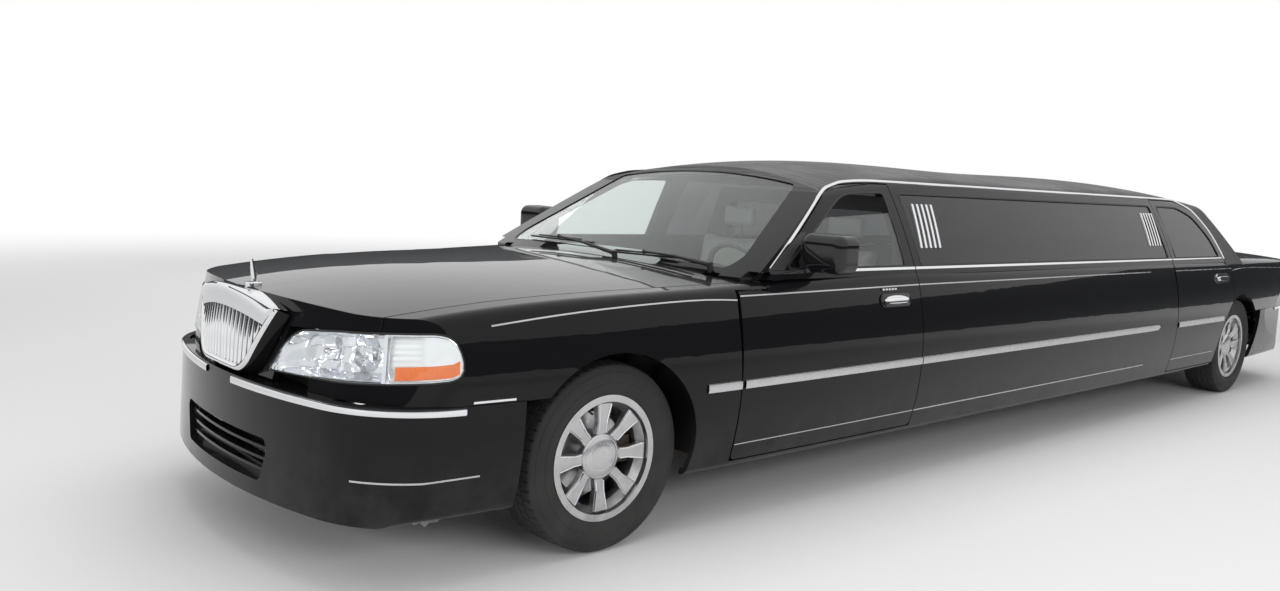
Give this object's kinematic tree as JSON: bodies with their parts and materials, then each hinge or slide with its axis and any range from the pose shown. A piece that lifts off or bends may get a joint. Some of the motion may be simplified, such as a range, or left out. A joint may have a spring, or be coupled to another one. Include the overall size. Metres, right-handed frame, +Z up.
{
  "type": "stretch limousine",
  "caption": "Long-wheelbase saloon lengthened between the doors, with hinged doors, hood and trunk lid, steered front wheels and a hollow furnished cabin.",
  "frame": {"origin": "middle of the car's overall box, on the ground", "axes": "+Z up, the nose points towards -Y, the car's own left side is at +X"},
  "size_m": [2.248, 8.5229, 1.501],
  "materials": {
    "body_paint": "gloss black paint",
    "roof_vinyl": "grained black roof covering",
    "chassis_black": "satin black",
    "bare_steel": "dull steel",
    "cast_grey": "cast and blocked in",
    "bright_trim": "bright plating",
    "wheel_silver": "machined and lacquered",
    "tyre_black": "matt",
    "tinted_glass": "dark tint",
    "clear_glass": "light tint",
    "lamp_lens": "clear lens",
    "red_lens": "red lens",
    "seat_leather": "grained",
    "cabin_plastic": "soft grain",
    "cabinet_wood": "dark veneer",
    "carpet": "short pile"
  },
  "bodies": {
    "chassis": {"chassis_frame": "chassis_black", "cowl": "body_paint", "dark_glass": "tinted_glass", "dash": "cabin_plastic", "engine_block": "cast_grey", "exhaust": "bare_steel", "fender_left": "body_paint", "fender_right": "body_paint", "floor_pan": "carpet", "front_bumper": "body_paint", "front_seats": "seat_leather", "front_suspension": "chassis_black", "headlamps": "lamp_lens", "limo_seats": "seat_leather", "louvres": "bright_trim", "partition": "cabinet_wood", "quarter_left": "body_paint", "quarter_right": "body_paint", "rear_axle": "cast_grey", "rear_bumper": "body_paint", "rear_deck": "body_paint", "roof": "roof_vinyl", "side_panel_left": "body_paint", "side_panel_right": "body_paint", "tail_lamps": "red_lens", "windscreen": "clear_glass", "windscreen_pillars": "body_paint"},
    "steering_left": {"knuckle_left": "cast_grey"},
    "wheel_front_left": {"tyre_front_left": "tyre_black", "rim_front_left": "wheel_silver"},
    "wheel_rear_left": {"tyre_rear_left": "tyre_black", "rim_rear_left": "wheel_silver"},
    "front_door_left": {"door_front_left": "body_paint", "door_glass_front_left": "clear_glass", "door_trim_front_left": "bright_trim"},
    "rear_door_left": {"door_rear_left": "body_paint", "door_glass_rear_left": "tinted_glass", "door_trim_rear_left": "bright_trim"},
    "steering_right": {"knuckle_right": "cast_grey"},
    "wheel_front_right": {"tyre_front_right": "tyre_black", "rim_front_right": "wheel_silver"},
    "wheel_rear_right": {"tyre_rear_right": "tyre_black", "rim_rear_right": "wheel_silver"},
    "front_door_right": {"door_front_right": "body_paint", "door_glass_front_right": "clear_glass", "door_trim_front_right": "bright_trim"},
    "rear_door_right": {"door_rear_right": "body_paint", "door_glass_rear_right": "tinted_glass", "door_trim_rear_right": "bright_trim"},
    "hood_panel": {"hood": "body_paint", "grille": "bright_trim"},
    "trunk_lid_panel": {"trunk_lid": "body_paint"}
  },
  "joints": [
    {"name": "steer_left", "type": "hinge", "parent": "chassis", "child": "steering_left", "pos_m": [0.735, -3.1995, 0.351], "axis": [0, 0, 1], "range_deg": [-30, 30]},
    {"name": "wheel_front_left_spin", "type": "hinge", "parent": "steering_left", "child": "wheel_front_left", "pos_m": [0.805, -3.1995, 0.351], "axis": [1, 0, 0], "continuous": true},
    {"name": "wheel_rear_left_spin", "type": "hinge", "parent": "chassis", "child": "wheel_rear_left", "pos_m": [0.833, 2.8385, 0.351], "axis": [1, 0, 0], "continuous": true},
    {"name": "front_door_left_hinge", "type": "hinge", "parent": "chassis", "child": "front_door_left", "pos_m": [0.93332, -2.5245, 0.6], "axis": [0, 0, -1], "range_deg": [0, 65]},
    {"name": "rear_door_left_hinge", "type": "hinge", "parent": "chassis", "child": "rear_door_left", "pos_m": [0.93925, 1.6905, 0.6], "axis": [0, 0, -1], "range_deg": [0, 65]},
    {"name": "steer_right", "type": "hinge", "parent": "chassis", "child": "steering_right", "pos_m": [-0.735, -3.1995, 0.351], "axis": [0, 0, 1], "range_deg": [-30, 30]},
    {"name": "wheel_front_right_spin", "type": "hinge", "parent": "steering_right", "child": "wheel_front_right", "pos_m": [-0.805, -3.1995, 0.351], "axis": [1, 0, 0], "continuous": true},
    {"name": "wheel_rear_right_spin", "type": "hinge", "parent": "chassis", "child": "wheel_rear_right", "pos_m": [-0.833, 2.8385, 0.351], "axis": [1, 0, 0], "continuous": true},
    {"name": "front_door_right_hinge", "type": "hinge", "parent": "chassis", "child": "front_door_right", "pos_m": [-0.93332, -2.5245, 0.6], "axis": [0, 0, 1], "range_deg": [0, 65]},
    {"name": "rear_door_right_hinge", "type": "hinge", "parent": "chassis", "child": "rear_door_right", "pos_m": [-0.93925, 1.6905, 0.6], "axis": [0, 0, 1], "range_deg": [0, 65]},
    {"name": "hood_hinge", "type": "hinge", "parent": "chassis", "child": "hood_panel", "pos_m": [0, -2.5275, 0.97], "axis": [-1, 0, 0], "range_deg": [0, 50]},
    {"name": "trunk_lid_hinge", "type": "hinge", "parent": "chassis", "child": "trunk_lid_panel", "pos_m": [0, 3.0285, 0.972], "axis": [1, 0, 0], "range_deg": [0, 78]}
  ],
  "couplings": [
    {"joint": "steer_right", "follows": "steer_left", "ratio": 1}
  ]
}
